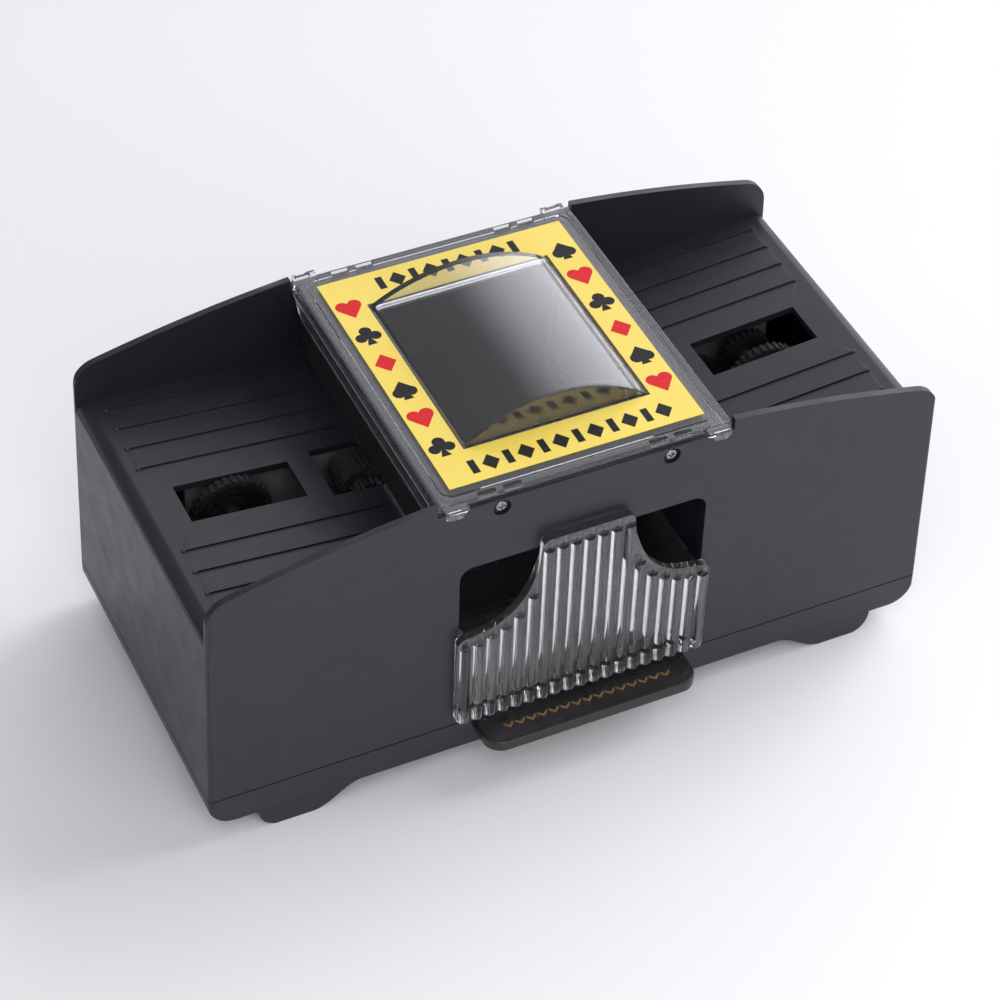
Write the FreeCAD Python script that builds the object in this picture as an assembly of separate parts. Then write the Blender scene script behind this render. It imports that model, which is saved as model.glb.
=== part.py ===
import FreeCAD, Part
import math
import os

# Automatic card shuffler, rebuilt as separate pieces.  Millimetres, +Z up, front is -Y.
# Every piece is drawn with the middle of the case at x = y = 0 and the floor at z = 0,
# then moved by SHIFT_Y on export so that the origin is under the centre of the whole object.

V = FreeCAD.Vector

# ---- driving dimensions ------------------------------------------------------------------
HALF_L = 101.5          # half length at the seam
HALF_W = 47.42          # half width at the seam
SEAM = 15.2             # parting line between upper housing and base
BASE_Z = 5.9            # underside of the base
DRAFT_L = 0.0287        # end walls lean in, mm per mm of height
DRAFT_W = 0.0045        # front and back walls lean in
IN_Y = 45.2             # inner face of front and back walls (90.4 passes an 88.9 mm card)
ARCH_R = 390.0          # top edge of the front and back walls
ARCH_TOP = 95.2
ROUND_Z = 76.2          # where the wall ends start to round
END_X = 99.75           # half length at that height
COVER_X = 39.7          # half size of the clear cover
COVER_Y = 46.3
COVER_TOP = 92.2
WALL_TOP = 90.0         # wall height under the cover
FLOOR_X0, FLOOR_Z0 = 38.0, 67.35   # tray floor height at its inner end
FLOOR_SLOPE = 0.0871    # trays fall 5 degrees towards the middle
FLOOR_T = 2.0
CHAMBER_X = 35.6        # inner face of the partitions
PART_X = 37.2           # outer face of the partitions
SLOT_X = (57.3, 88.0)   # outer slot in each tray
SLOT_Y = 6.8
NOTCH_X = 51.0          # inner notch in each tray
NOTCH_Y = 8.9
WIN_X, WIN_Z0, WIN_Z1, WIN_R = 34.0, 20.7, 69.9, 3.7
GATE_SCREW_X, GATE_SCREW_Z = 23.04, 87.2
GATE_RECESS, GATE_RECESS_R, GATE_HEAD_R = 1.3, 2.35, 1.5   # counterbore in the wall and screw head
GATE_SHANK_R = 0.95
BASE_SCREWS = [(sx * 91.5, sy * 38.0) for sx in (-1, 1) for sy in (-1, 1)]
LEVER_Y = -59.6         # front edge of the press bar
LEVER_Z0, LEVER_Z1 = 13.8, 16.8
LEVER_X = 30.0
PIVOT_Y, PIVOT_Z = -16.0, 13.9
DRAWER_X, DRAWER_Y0, DRAWER_Y1 = 33.6, -47.7, 44.4
DRAWER_Z, DRAWER_TOP = 21.2, 46.0
PLATE_X, PLATE_Z, PLATE_TOP = 35.2, 18.1, 74.1
VAULT_X, VAULT_Y, VAULT_RISE = 25.0, 29.1, 8.4
TAB_Y = 48.5            # outer face of the cover's hanging tabs
TAB_X, TAB_TOP = (32.4, 38.6), COVER_TOP - 0.3
SHIFT_Y = (-LEVER_Y - TAB_Y) / 2.0
WIRE_R = 0.55

# drive module (left side; the right one is the same turned half a turn about Z)
MOD = 0.6               # gear module
PA = math.radians(25)   # pressure angle
N_MOTOR, N_BIG, N_SMALL, N_TRANS, N_FEED, N_WHEEL = 10, 40, 12, 50, 14, 24
REDUCE_ANGLE, MOTOR_ANGLE = 200, -28    # where each gear sits on the one before it
FEED = (-41.3, 63.3)    # feed roller shaft (x, z)
WHEEL = (-74.0, 60.2)   # outer wheel shaft
FEED_R, WHEEL_R = 5.5, 11.0
PLANE_A = (-8.0, -5.2)  # gears of the transfer train
PLANE_B = (-4.6, -1.8)   # motor pinion and reduction gear
CH_FRONT = (-14.4, -12.4)
CH_BACK = (9.2, 11.2)
CH_SCREWS = [(-76.0, -18.3), (-52.0, -18.3), (-76.0, 15.1), (-52.0, 15.1)]
EAR_Z = (50.0, 52.0)
MOTOR_FACE, MOTOR_LEN = 0.6, 25.0
CELL_R, CELL_X = 7.1, (43.2, 93.7)
CELL_YS = [-22.05, -7.35, 7.35, 22.05]
CELL_Z = 15.9


def floor_z(x):
    return FLOOR_Z0 + FLOOR_SLOPE * (abs(x) - FLOOR_X0)


def half_w(z):
    return HALF_W - DRAFT_W * (z - SEAM)


def half_l(z):
    return HALF_L - DRAFT_L * (z - SEAM)


def meet(a, ra, b, rb):
    """Centre of a gear in mesh with two others: below the line from a to b."""
    d = math.hypot(b[0] - a[0], b[1] - a[1])
    ex, ez = (b[0] - a[0]) / d, (b[1] - a[1]) / d
    s = (d * d + ra * ra - rb * rb) / (2 * d)
    h = math.sqrt(ra * ra - s * s)
    px, pz = (ez, -ex) if -ex < 0 else (-ez, ex)
    return (a[0] + s * ex + h * px, a[1] + s * ez + h * pz)


def pitch_r(n):
    return MOD * n / 2.0


def beside(p, distance, angle):
    """Point at a distance from p, in the direction of an angle in degrees in the xz plane."""
    a = math.radians(angle)
    return (p[0] + distance * math.cos(a), p[1] + distance * math.sin(a))


TRANS = meet(FEED, pitch_r(N_TRANS + N_FEED), WHEEL, pitch_r(N_TRANS + N_WHEEL))
REDUCE = beside(TRANS, pitch_r(N_TRANS + N_SMALL), REDUCE_ANGLE)
MOTOR = beside(REDUCE, pitch_r(N_BIG + N_MOTOR), MOTOR_ANGLE)


# ---- small helpers -----------------------------------------------------------------------
def box(x0, x1, y0, y1, z0, z1):
    return Part.makeBox(x1 - x0, y1 - y0, z1 - z0, V(x0, y0, z0))


def cyl_x(y, z, r, x0, x1):
    return Part.makeCylinder(r, x1 - x0, V(x0, y, z), V(1, 0, 0))


def cyl_y(p, r, y0, y1):
    return Part.makeCylinder(r, y1 - y0, V(p[0], y0, p[1]), V(0, 1, 0))


def cyl_z(x, y, r, z0, z1):
    return Part.makeCylinder(r, z1 - z0, V(x, y, z0), V(0, 0, 1))


def poly_y(pts, y0, y1):
    """Straight-sided outline in XZ, extruded along Y."""
    w = Part.makePolygon([V(x, y0, z) for x, z in pts] + [V(pts[0][0], y0, pts[0][1])])
    return Part.Face(w).extrude(V(0, y1 - y0, 0))


def poly_x(pts, x0, x1):
    w = Part.makePolygon([V(x0, y, z) for y, z in pts] + [V(x0, pts[0][0], pts[0][1])])
    return Part.Face(w).extrude(V(x1 - x0, 0, 0))


def rounded(hx, hy, r, z):
    """Rounded rectangle wire at height z."""
    b = box(-hx, hx, -hy, hy, z, z + 1)
    b = b.makeFillet(r, [e for e in b.Edges if abs(e.BoundBox.ZLength - 1) < 1e-6])
    f = [f for f in b.Faces if abs(f.CenterOfMass.z - z) < 1e-6][0]
    return f.OuterWire


def join(shapes):
    s = shapes[0].multiFuse(shapes[1:]) if len(shapes) > 1 else shapes[0]
    return s.removeSplitter()


def mirror_x(s):
    return s.mirror(V(0, 0, 0), V(1, 0, 0))


def mirror_y(s):
    return s.mirror(V(0, 0, 0), V(0, 1, 0))


def turned(s):
    c = s.copy()
    c.rotate(V(0, 0, 0), V(0, 0, 1), 180)
    return c


def edges_along(s, axis, test):
    """Straight edges parallel to an axis whose centre passes the test."""
    out = []
    for e in s.Edges:
        bb = e.BoundBox
        size = (bb.XLength, bb.YLength, bb.ZLength)
        others = [size[i] for i in range(3) if i != axis]
        if size[axis] > 0.5 and max(others) < 1e-4 and test(bb.Center):
            out.append(e)
    return out


# ---- upper housing -----------------------------------------------------------------------
def upper_housing():
    top = 98.0
    block = Part.makeLoft([rounded(half_l(SEAM), half_w(SEAM), 1.2, SEAM),
                           rounded(half_l(top), half_w(top), 1.2, top)], True, True)
    arch = box(-END_X, END_X, -60, 60, ROUND_Z - 10, 110).common(
        cyl_y((0, ARCH_TOP - ARCH_R), ARCH_R, -60, 60))
    arch = arch.makeFillet(7.5, edges_along(arch, 1, lambda c: c.z > ROUND_Z))
    block = block.common(box(-110, 110, -60, 60, 0, ROUND_Z).fuse(arch))
    # flat seat for the clear cover
    block = block.cut(box(-COVER_X - 0.4, COVER_X + 0.4, -60, 60, WALL_TOP, 110))

    # the space above the trays: floor line, rounded outer edge and rounded inner edge
    xo = 96.3
    zo = floor_z(xo)
    e1 = Part.makeLine(V(-34.9, -IN_Y, 110), V(-34.9, -IN_Y, 65.4))
    e2 = Part.makeLine(V(-34.9, -IN_Y, 65.4), V(-35.6, -IN_Y, 65.4))
    e3 = Part.Arc(V(-35.6, -IN_Y, 65.4), V(-36.0, -IN_Y, 66.6), V(-37.2, -IN_Y, floor_z(37.2))).toShape()
    e4 = Part.makeLine(V(-37.2, -IN_Y, floor_z(37.2)), V(-xo, -IN_Y, zo))
    e5 = Part.Arc(V(-xo, -IN_Y, zo), V(-98.75, -IN_Y, zo - 0.95), V(-99.95, -IN_Y, zo - 3.6)).toShape()
    e6 = Part.makeLine(V(-99.95, -IN_Y, zo - 3.6), V(-110, -IN_Y, zo - 3.6))
    e7 = Part.makeLine(V(-110, -IN_Y, zo - 3.6), V(-110, -IN_Y, 110))
    e8 = Part.makeLine(V(-110, -IN_Y, 110), V(-34.9, -IN_Y, 110))
    tray = Part.Face(Part.Wire([e1, e2, e3, e4, e5, e6, e7, e8])).extrude(V(0, 2 * IN_Y, 0))

    # the hollow under each tray
    t = FLOOR_T
    under = poly_y([(-99.4, SEAM - 1), (-PART_X, SEAM - 1), (-PART_X, floor_z(PART_X) - t),
                    (-95.3, floor_z(95.3) - t), (-97.7, 68.4)], -IN_Y, IN_Y)
    cuts = [tray, under, mirror_x(tray), mirror_x(under),
            box(-CHAMBER_X, CHAMBER_X, -IN_Y, IN_Y, SEAM - 1, 110)]
    block = block.cut(Part.makeCompound(cuts))

    # posts for the base screws and for the two drive modules, and rails under the drawer
    adds = [block]
    for x, y in BASE_SCREWS:
        adds.append(cyl_z(x, y, 3.5, SEAM + 0.1, floor_z(x) - 1))
    for x, y in CH_SCREWS:
        for s in (1, -1):
            adds.append(cyl_z(s * x, s * y, 3.0, EAR_Z[1], floor_z(x) - 1))
    for s in (1, -1):
        adds.append(box(min(s * 31.6, s * 36), max(s * 31.6, s * 36), -IN_Y - 0.5, IN_Y + 0.5, 18.4, 20.9))
    # fine ribs that carry the cards
    ang = math.degrees(math.atan(FLOOR_SLOPE))
    for s in (1, -1):
        for n in range(4):
            y = 15.9 + 7.93 * n
            for sy in (1, -1):
                r = Part.makeBox(53.5, 0.7, 1.0, V(-94.0, -0.35, -0.55))
                r = r.fuse(Part.makeCylinder(0.55, 1.0, V(-94.0, 0, -0.55), V(0, 0, 1)))
                r.rotate(V(0, 0, 0), V(0, 1, 0), ang)
                r.translate(V(0, sy * y, floor_z(0)))
                if s > 0:
                    r = mirror_x(r)
                adds.append(r)
    block = adds[0].multiFuse(adds[1:])

    # openings and holes
    win = box(-WIN_X, WIN_X, -60, -IN_Y + 0.6, WIN_Z0, WIN_Z1)
    win = win.makeFillet(WIN_R, edges_along(win, 1, lambda c: c.z > 50))
    holes = [win, box(-27.6, 27.6, -60, -IN_Y + 1, SEAM - 1, 17.1)]
    for s in (1, -1):
        a, b = sorted((s * SLOT_X[0], s * SLOT_X[1]))
        holes.append(box(a, b, -SLOT_Y, SLOT_Y, 60, 90))
        a, b = sorted((s * NOTCH_X, s * 34.0))
        holes.append(box(a, b, -NOTCH_Y, NOTCH_Y, 56.5, 90))
        for sy in (1, -1):
            wy = half_w(GATE_SCREW_Z)
            p = (s * GATE_SCREW_X, GATE_SCREW_Z)
            y0, y1 = (-60, -40) if sy < 0 else (40, 60)
            holes.append(cyl_y(p, GATE_SHANK_R + 0.25, y0, y1))
            y0, y1 = (-60, -wy + GATE_RECESS) if sy < 0 else (wy - GATE_RECESS, 60)
            holes.append(cyl_y(p, GATE_RECESS_R, y0, y1))
    for x, y in BASE_SCREWS:
        holes.append(cyl_z(x, y, 1.25, SEAM - 1, 32))
    for x, y in CH_SCREWS:
        for s in (1, -1):
            holes.append(cyl_z(s * x, s * y, 1.25, EAR_Z[1] - 1, 62))
    # shadow line at the seam
    ring = box(-120, 120, -60, 60, SEAM - 0.5, SEAM + 0.3).cut(
        box(-half_l(SEAM) + 0.35, half_l(SEAM) - 0.35, -half_w(SEAM) + 0.35, half_w(SEAM) - 0.35,
            SEAM - 1, SEAM + 1))
    holes.append(ring)
    block = block.cut(Part.makeCompound(holes))
    return block.removeSplitter()


# ---- base with its four feet --------------------------------------------------------------
BOX_X, BOX_Y, BOX_Z = (39.6, 98.2), 31.6, 25.0
DOOR_X, DOOR_Y = (42.6, 94.0), 30.2
DOOR_HINGE = (DOOR_X[0] + 1.2, BASE_Z + 1.0)


def base():
    top = SEAM - 0.05
    outer = box(-HALF_L, HALF_L, -HALF_W, HALF_W, BASE_Z, top)
    outer = outer.makeFillet(7.0, edges_along(outer, 1, lambda c: c.z < BASE_Z + 1))
    outer = outer.makeFillet(0.8, edges_along(outer, 0, lambda c: c.z < BASE_Z + 1))
    plan = Part.Face(rounded(HALF_L, HALF_W, 1.2, 0)).extrude(V(0, 0, 30))
    outer = outer.common(plan)
    inner = box(-99.3, 99.3, -IN_Y, IN_Y, BASE_Z + 2, 30)
    inner = inner.makeFillet(5.5, edges_along(inner, 1, lambda c: c.z < 10))
    shell = outer.cut(inner)
    adds = []
    # feet: steep outside, gentle inside, flush with the front and back
    p = [V(61.0, 0, 6.4), V(65.0, 0, 4.6), V(70.0, 0, 1.2), V(73.5, 0, 0.0)]
    q = [V(84.0, 0, 0.0), V(86.2, 0, 1.2), V(88.4, 0, 6.4)]
    c1 = Part.BSplineCurve()
    c1.interpolate(p)
    c2 = Part.BSplineCurve()
    c2.interpolate(q)
    w = Part.Wire([c1.toShape(), Part.makeLine(p[-1], q[0]), c2.toShape(), Part.makeLine(q[-1], p[0])])
    foot = Part.Face(w).extrude(V(0, 11.0, 0))
    foot.translate(V(0, -HALF_W, 0))
    for f in (foot, mirror_x(foot)):
        adds += [f, mirror_y(f)]
    # battery box, lever posts, screw bosses, switch block, spring seat
    adds.append(box(BOX_X[0], BOX_X[1], -BOX_Y, BOX_Y, BASE_Z + 1, BOX_Z))
    for s in (1, -1):
        a, b = sorted((s * 24.0, s * 27.0))
        adds.append(box(a, b, PIVOT_Y - 3.2, PIVOT_Y + 3.2, BASE_Z + 1, PIVOT_Z + 3.0))
    for x, y in BASE_SCREWS:
        adds.append(cyl_z(x, y, 3.9, BASE_Z + 1, SEAM))
    adds.append(box(7.0, 17.0, -44.0, -30.0, BASE_Z + 1, 9.4))
    adds.append(cyl_z(0, -38, 1.9, BASE_Z + 1, 9.2))
    body = shell.multiFuse(adds)
    cuts = [box(BOX_X[0] + 1.0, BOX_X[1] - 1.3, -BOX_Y + 1.5, BOX_Y - 1.5, BASE_Z + 2.3, BOX_Z - 1.5),
            box(DOOR_X[0], DOOR_X[1], -DOOR_Y, DOOR_Y, BASE_Z - 1, BASE_Z + 2.4),
            cyl_x(PIVOT_Y, PIVOT_Z, 1.27, -30, 30),
            box(-27.6, 27.6, -60, -IN_Y + 1, 11.4, 30)]
    for x, y in BASE_SCREWS:
        cuts += [cyl_z(x, y, 1.6, 0, 30), cyl_z(x, y, 3.0, 0, 10.4)]
    # slots for the two battery tabs that the wires are soldered to
    for y in (CELL_YS[0], CELL_YS[3]):
        cuts.append(box(96.15, 96.95, y - 1.3, y + 1.3, 20, BOX_Z + 1))
    # finger scoop at the free edge of the battery door
    cuts.append(Part.makeSphere(7.0, V(95.5, 0, BASE_Z - 5.2)))
    return body.cut(Part.makeCompound(cuts)).removeSplitter()


def battery_door():
    z0, z1 = BASE_Z + 0.1, BASE_Z + 1.9
    x0, x1 = DOOR_HINGE[0], DOOR_X[1] - 0.4
    y = DOOR_Y - 0.4
    door = box(x0, x1, -y, y, z0, z1)
    door = door.fuse(cyl_y(DOOR_HINGE, 0.9, -y, y))
    # grip lines, a latch lip at the free end and a slot beside it so that it can flex
    for n in range(5):
        door = door.cut(box(82.0 + 2 * n, 82.8 + 2 * n, -9, 9, z0 - 1, z0 + 0.4))
    for s in (1, -1):
        door = door.cut(box(80.0, x1 + 1, s * 11.5 - 0.5, s * 11.5 + 0.5, z0 - 1, z1 + 1))
    return door.removeSplitter()


# ---- gate frame ----------------------------------------------------------------------------
def gate_frame():
    gx, gy, zt = 37.9, 45.0, 89.8
    tube = box(-gx, gx, -gy, gy, 69.2, zt).cut(box(-gx + 1.6, gx - 1.6, -gy + 1.6, gy - 1.6, 60, zt + 1))
    tube = tube.cut(box(-gx + 1.6, gx - 1.6, -60, 60, 60, 80.5))
    deck = box(-gx + 1, gx - 1, -gy + 1, gy - 1, zt - 1.6, zt).cut(box(-32, 32, -38, 38, 60, zt + 1))
    adds = [deck]
    for sx in (1, -1):
        for sy in (1, -1):
            p = (sx * GATE_SCREW_X, GATE_SCREW_Z)
            adds.append(cyl_y(p, 2.5, 38.5, gy - 0.5) if sy > 0 else cyl_y(p, 2.5, -gy + 0.5, -38.5))
    # stiffening ribs on the inner side of each gate, away from the cards
    for sx in (1, -1):
        for y in (-30, -10, 10, 30):
            a, b = sorted((sx * (gx - 1.0), sx * (gx - 3.0)))
            adds.append(box(a, b, y - 0.6, y + 0.6, 74, zt - 0.5))
    f = tube.multiFuse(adds)
    cuts = []
    for sx in (1, -1):
        p = (sx * GATE_SCREW_X, GATE_SCREW_Z)
        cuts += [cyl_y(p, GATE_SHANK_R + 0.1, 39.5, 60), cyl_y(p, GATE_SHANK_R + 0.1, -60, -39.5)]
    return f.cut(Part.makeCompound(cuts)).removeSplitter()


# ---- clear cover and its label -------------------------------------------------------------
def segment(hw, rise, y0, y1, z0, lean):
    """Part-cylinder vault standing on z0, with end faces that lean inwards."""
    r = (hw * hw + rise * rise) / (2 * rise)
    a = Part.Arc(V(-hw, y0, z0), V(0, y0, z0 + rise), V(hw, y0, z0)).toShape()
    f = Part.Face(Part.Wire([a, Part.makeLine(V(hw, y0, z0), V(-hw, y0, z0))]))
    s = f.extrude(V(0, y1 - y0, 0))
    k = lean * (rise + 1) / rise
    w = poly_x([(y0, z0), (y1, z0), (y1 - k, z0 + rise + 1), (y0 + k, z0 + rise + 1)], -hw - 1, hw + 1)
    return s.common(w)


def top_cover():
    z0 = WALL_TOP + 0.2
    plate = box(-COVER_X, COVER_X, -COVER_Y, COVER_Y, z0, COVER_TOP)
    plate = plate.makeFillet(0.5, edges_along(plate, 1, lambda c: c.z > 92) +
                             edges_along(plate, 0, lambda c: c.z > 92))
    adds = []
    # side flanges with a thicker upper band; the back end is rounded off
    side = [(-44.8, z0 + 0.5), (-44.8, 83.4), (-44.2, 82.8), (39.5, 82.8), (42.6, 84.0), (44.3, 86.4),
            (44.8, 89.0), (44.8, z0 + 0.5)]
    flange = poly_x(side, -COVER_X + 0.5, -COVER_X + 1.5)
    band = box(-COVER_X, -COVER_X + 1.5, -44.8, 44.8, 88.6, z0 + 0.5)
    for s in (flange, band):
        adds += [s, mirror_x(s)]
    # tabs that hang over the front and back walls, rounded at their inner corner
    shape = [(-TAB_X[1], TAB_TOP), (-TAB_X[1], 90.2), (-38.0, 89.4), (-36.9, 89.0), (-34.9, 89.0), (-34.0, 89.4),
             (-33.6, 90.4), (-TAB_X[0], 91.0), (-TAB_X[0], TAB_TOP)]
    t = poly_y(shape, -TAB_Y, -TAB_Y + 1.0)
    t = t.fuse(box(-TAB_X[1], -TAB_X[0], -TAB_Y + 0.5, -COVER_Y + 1, z0 + 0.2, TAB_TOP))
    for s in (t, mirror_x(t)):
        adds += [s, mirror_y(s)]
    body = plate.multiFuse(adds + [segment(VAULT_X, VAULT_RISE, -VAULT_Y, VAULT_Y, COVER_TOP - 0.01, 1.1)])
    cuts = [segment(VAULT_X - 1.3, VAULT_RISE - 1.2, -VAULT_Y + 1.3, VAULT_Y - 1.3, COVER_TOP - 0.01, 1.0),
            box(-VAULT_X + 1.3, VAULT_X - 1.3, -VAULT_Y + 1.3, VAULT_Y - 1.3, z0 - 1, COVER_TOP)]
    # a fine line round the label and a sloped pocket over each snap catch
    ring = Part.Face(rounded(37.4, 44.0, 3.5, COVER_TOP - 0.35)).extrude(V(0, 0, 1))
    cuts.append(ring.cut(Part.Face(rounded(36.8, 43.4, 2.9, COVER_TOP - 0.5)).extrude(V(0, 0, 2))))
    for sx in (1, -1):
        for sy in (1, -1):
            c = poly_x([(sy * 44.4, COVER_TOP + 1), (sy * 44.4, COVER_TOP - 0.2), (sy * 45.8, COVER_TOP - 1.1),
                        (sy * 45.8, COVER_TOP + 1)], *sorted((sx * 17.3, sx * 28.9)))
            c = c.cut(box(sx * 23.1 - 1.0, sx * 23.1 + 1.0, -60, 60, 60, 100))
            cuts.append(c)
    return body.cut(Part.makeCompound(cuts)).removeSplitter()


def cover_label():
    z0 = COVER_TOP + 0.02
    s = box(-34.5, 34.5, -41.3, 41.3, z0, z0 + 0.18)
    return s.cut(box(-25.5, 25.5, -29.7, 29.7, 80, 110))


# ---- clear drawer ---------------------------------------------------------------------------
SHOULDER = [(13.0, 67.6), (14.5, 62.7), (16.3, 58.4), (20.5, 52.9), (29.0, 48.9)]
SHOULDER_END, NECK_X = (32.7, 48.2), 12.6
RIBS, RIB_PITCH, RIB_R, RIB_DROP = 19, 3.7, 1.5, 3.3


def outline_z(x):
    """Height of the front plate's edge at a distance x from the middle."""
    x = abs(x)
    pts = SHOULDER + [(PLATE_X, SHOULDER_END[1])]
    for (xa, za), (xb, zb) in zip(pts, pts[1:]):
        if xa <= x <= xb:
            return za + (zb - za) * (x - xa) / (xb - xa)
    return PLATE_TOP


def plate_half(s):
    c = Part.BSplineCurve()
    c.interpolate([V(s * x, 0, z) for x, z in SHOULDER])
    neck, (x0, z0), (x1, z1) = s * (NECK_X - 0.05), SHOULDER[0], SHOULDER[-1]
    x2, z2 = SHOULDER_END
    return [Part.makeLine(V(0, 0, PLATE_TOP), V(neck - s * 2.0, 0, PLATE_TOP)),
            Part.Arc(V(neck - s * 2.0, 0, PLATE_TOP), V(neck - s * 0.55, 0, PLATE_TOP - 0.6),
                     V(neck, 0, PLATE_TOP - 2.0)).toShape(),
            Part.makeLine(V(neck, 0, PLATE_TOP - 2.0), V(s * x0, 0, z0)),
            c.toShape(),
            Part.makeLine(V(s * x1, 0, z1), V(s * x2, 0, z2)),
            Part.Arc(V(s * x2, 0, z2), V(s * (PLATE_X - 0.7), 0, z2 - 0.7), V(s * PLATE_X, 0, z2 - 2.5)).toShape(),
            Part.makeLine(V(s * PLATE_X, 0, z2 - 2.5), V(s * PLATE_X, 0, PLATE_Z + 1)),
            Part.Arc(V(s * PLATE_X, 0, PLATE_Z + 1), V(s * (PLATE_X - 0.3), 0, PLATE_Z + 0.3),
                     V(s * (PLATE_X - 1), 0, PLATE_Z)).toShape(),
            Part.makeLine(V(s * (PLATE_X - 1), 0, PLATE_Z), V(0, 0, PLATE_Z))]


def drawer():
    right = plate_half(1)
    left = plate_half(-1)
    w = Part.Wire(Part.__sortEdges__(right + left))
    plate = Part.Face(w).extrude(V(0, 2.2, 0))
    plate.translate(V(0, DRAWER_Y0 - 2.2, 0))
    tub = box(-DRAWER_X, DRAWER_X, DRAWER_Y0 - 0.5, DRAWER_Y1, DRAWER_Z, DRAWER_TOP)
    tub = tub.cut(box(-DRAWER_X + 1.5, DRAWER_X - 1.5, DRAWER_Y0, DRAWER_Y1 - 1.4, DRAWER_Z + 1.5, 60))
    tub = tub.cut(box(-60, 60, DRAWER_Y1 - 1.4, 60, DRAWER_TOP - 4, 60))
    tub = tub.cut(box(-10, 10, DRAWER_Y1 - 2, 60, 32.0, 60))
    ribs = []
    yf = DRAWER_Y0 - 2.2
    for n in range(RIBS):
        x = RIB_PITCH * (n - (RIBS - 1) / 2)
        zt = (outline_z(abs(x) + 1.0) if abs(x) > NECK_X else PLATE_TOP) - RIB_DROP
        ribs.append(cyl_z(x, yf + 0.25, RIB_R, PLATE_Z + 0.5, zt).common(
            box(x - 3, x + 3, yf - 1.6, yf + 0.6, PLATE_Z, zt)))
    return plate.multiFuse([tub] + ribs).removeSplitter()


# ---- press lever and its switch -------------------------------------------------------------
def lever():
    z0, z1 = LEVER_Z0, LEVER_Z1
    paddle = box(-LEVER_X, LEVER_X, LEVER_Y, -48.0, z0, z1)
    paddle = paddle.makeFillet(5.0, edges_along(paddle, 2, lambda c: c.y < -55))
    rim = [e for e in paddle.Edges if abs(e.BoundBox.ZMax - z1) < 1e-6 and e.BoundBox.ZLength < 1e-6
           and e.BoundBox.YMin < -50]
    paddle = paddle.makeFillet(0.7, rim)
    adds = [box(-27.0, 27.0, -49.0, -22.0, z0, z1), box(-23.4, 23.4, -23.0, PIVOT_Y, z0, z1),
            cyl_x(PIVOT_Y, PIVOT_Z, 2.9, -23.4, 23.4), cyl_z(12, -36, 2.0, 11.6, z0 + 1),
            cyl_z(0, -38, 1.9, 12.6, z0 + 1)]
    body = paddle.multiFuse(adds)
    cuts = [cyl_x(PIVOT_Y, PIVOT_Z, 1.3, -30, 30)]
    for s in (1, -1):
        a, b = sorted((s * 6.0, s * 19.0))
        cuts.append(box(a, b, -43.0, -38.5, 0, 15.3) if s < 0 else box(a + 12, b + 4, -43.0, -38.5, 0, 15.3))
    return body.cut(Part.makeCompound(cuts)).removeSplitter()


def coil(x, y, z0, h, r, wire, pitch, sides=6, steps=16):
    """Helical spring standing on z0, as a faceted closed tube."""
    n = int(round((h - 2 * wire) / pitch * steps))
    rings = []
    for k in range(n + 1):
        a = 2 * math.pi * k / steps
        zc = z0 + wire + (h - 2 * wire) * k / n
        ring = []
        for q in range(sides):
            t = 2 * math.pi * q / sides
            rr = r + wire * math.cos(t)
            ring.append(V(x + rr * math.cos(a), y + rr * math.sin(a), zc + wire * math.sin(t)))
        rings.append(ring)
    faces = [Part.Face(Part.makePolygon(rings[0] + [rings[0][0]])),
             Part.Face(Part.makePolygon(rings[-1] + [rings[-1][0]]))]
    for a, b in zip(rings, rings[1:]):
        for q in range(sides):
            p1, p2, p3, p4 = a[q], a[(q + 1) % sides], b[(q + 1) % sides], b[q]
            faces.append(Part.Face(Part.makePolygon([p1, p2, p3, p1])))
            faces.append(Part.Face(Part.makePolygon([p1, p3, p4, p1])))
    solid = Part.makeSolid(Part.makeShell(faces))
    if solid.Volume < 0:
        solid.reverse()
    return solid


def lever_spring():
    return coil(0, -38, BASE_Z + 2.05, LEVER_Z0 - BASE_Z - 2.1, 3.0, 0.3, 1.25)


def switch_leaf_lower():
    return box(8.5, 15.5, -43.0, -31.5, 9.42, 9.72).fuse(cyl_z(12, -36, 1.2, 9.7, 10.1)).removeSplitter()


def switch_leaf_upper():
    s = box(8.5, 15.5, -43.0, -41.0, 9.74, 11.3)
    s = s.fuse(box(9.5, 14.5, -43.0, -33.5, 11.0, 11.3))
    return s.fuse(cyl_z(12, -36, 1.2, 10.7, 11.1)).removeSplitter()


def lever_pin():
    return cyl_x(PIVOT_Y, PIVOT_Z, 1.25, -26.9, 26.9)


# ---- gears -----------------------------------------------------------------------------------
def gear(n, centre, phase, y0, y1):
    """Stub involute spur gear with its axis along Y; phase is the angle of one tooth's middle."""
    rp = pitch_r(n)
    ra, rf, rb = rp + 0.8 * MOD, rp - 1.05 * MOD, rp * math.cos(PA)
    half = (math.pi * MOD / 2 - 0.07) / (2 * rp)
    inv_p = math.tan(PA) - PA

    def flank(r):
        if r <= rb:
            return half + inv_p
        a = math.acos(rb / r)
        return half + inv_p - (math.tan(a) - a)

    radii = [rf] + [max(rb, rf) + (ra - max(rb, rf)) * k / 4.0 for k in range(5)]
    if rb <= rf:
        radii = radii[1:]
    pts = []
    for k in range(n):
        c = phase + 2 * math.pi * k / n
        prof = [(r, -flank(r)) for r in radii] + [(r, flank(r)) for r in reversed(radii)]
        pts += [(centre[0] + r * math.cos(c + t), centre[1] + r * math.sin(c + t)) for r, t in prof]
    return poly_y(pts, y0, y1)


def meshed_phase(ca, na, pa, cb, nb):
    """Phase of gear b so that it meshes with gear a."""
    phi = math.atan2(cb[1] - ca[1], cb[0] - ca[0])
    step = 2 * math.pi / na
    frac = ((phi - pa) % step) / step
    return phi + math.pi + (frac - 0.5) * 2 * math.pi / nb


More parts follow.
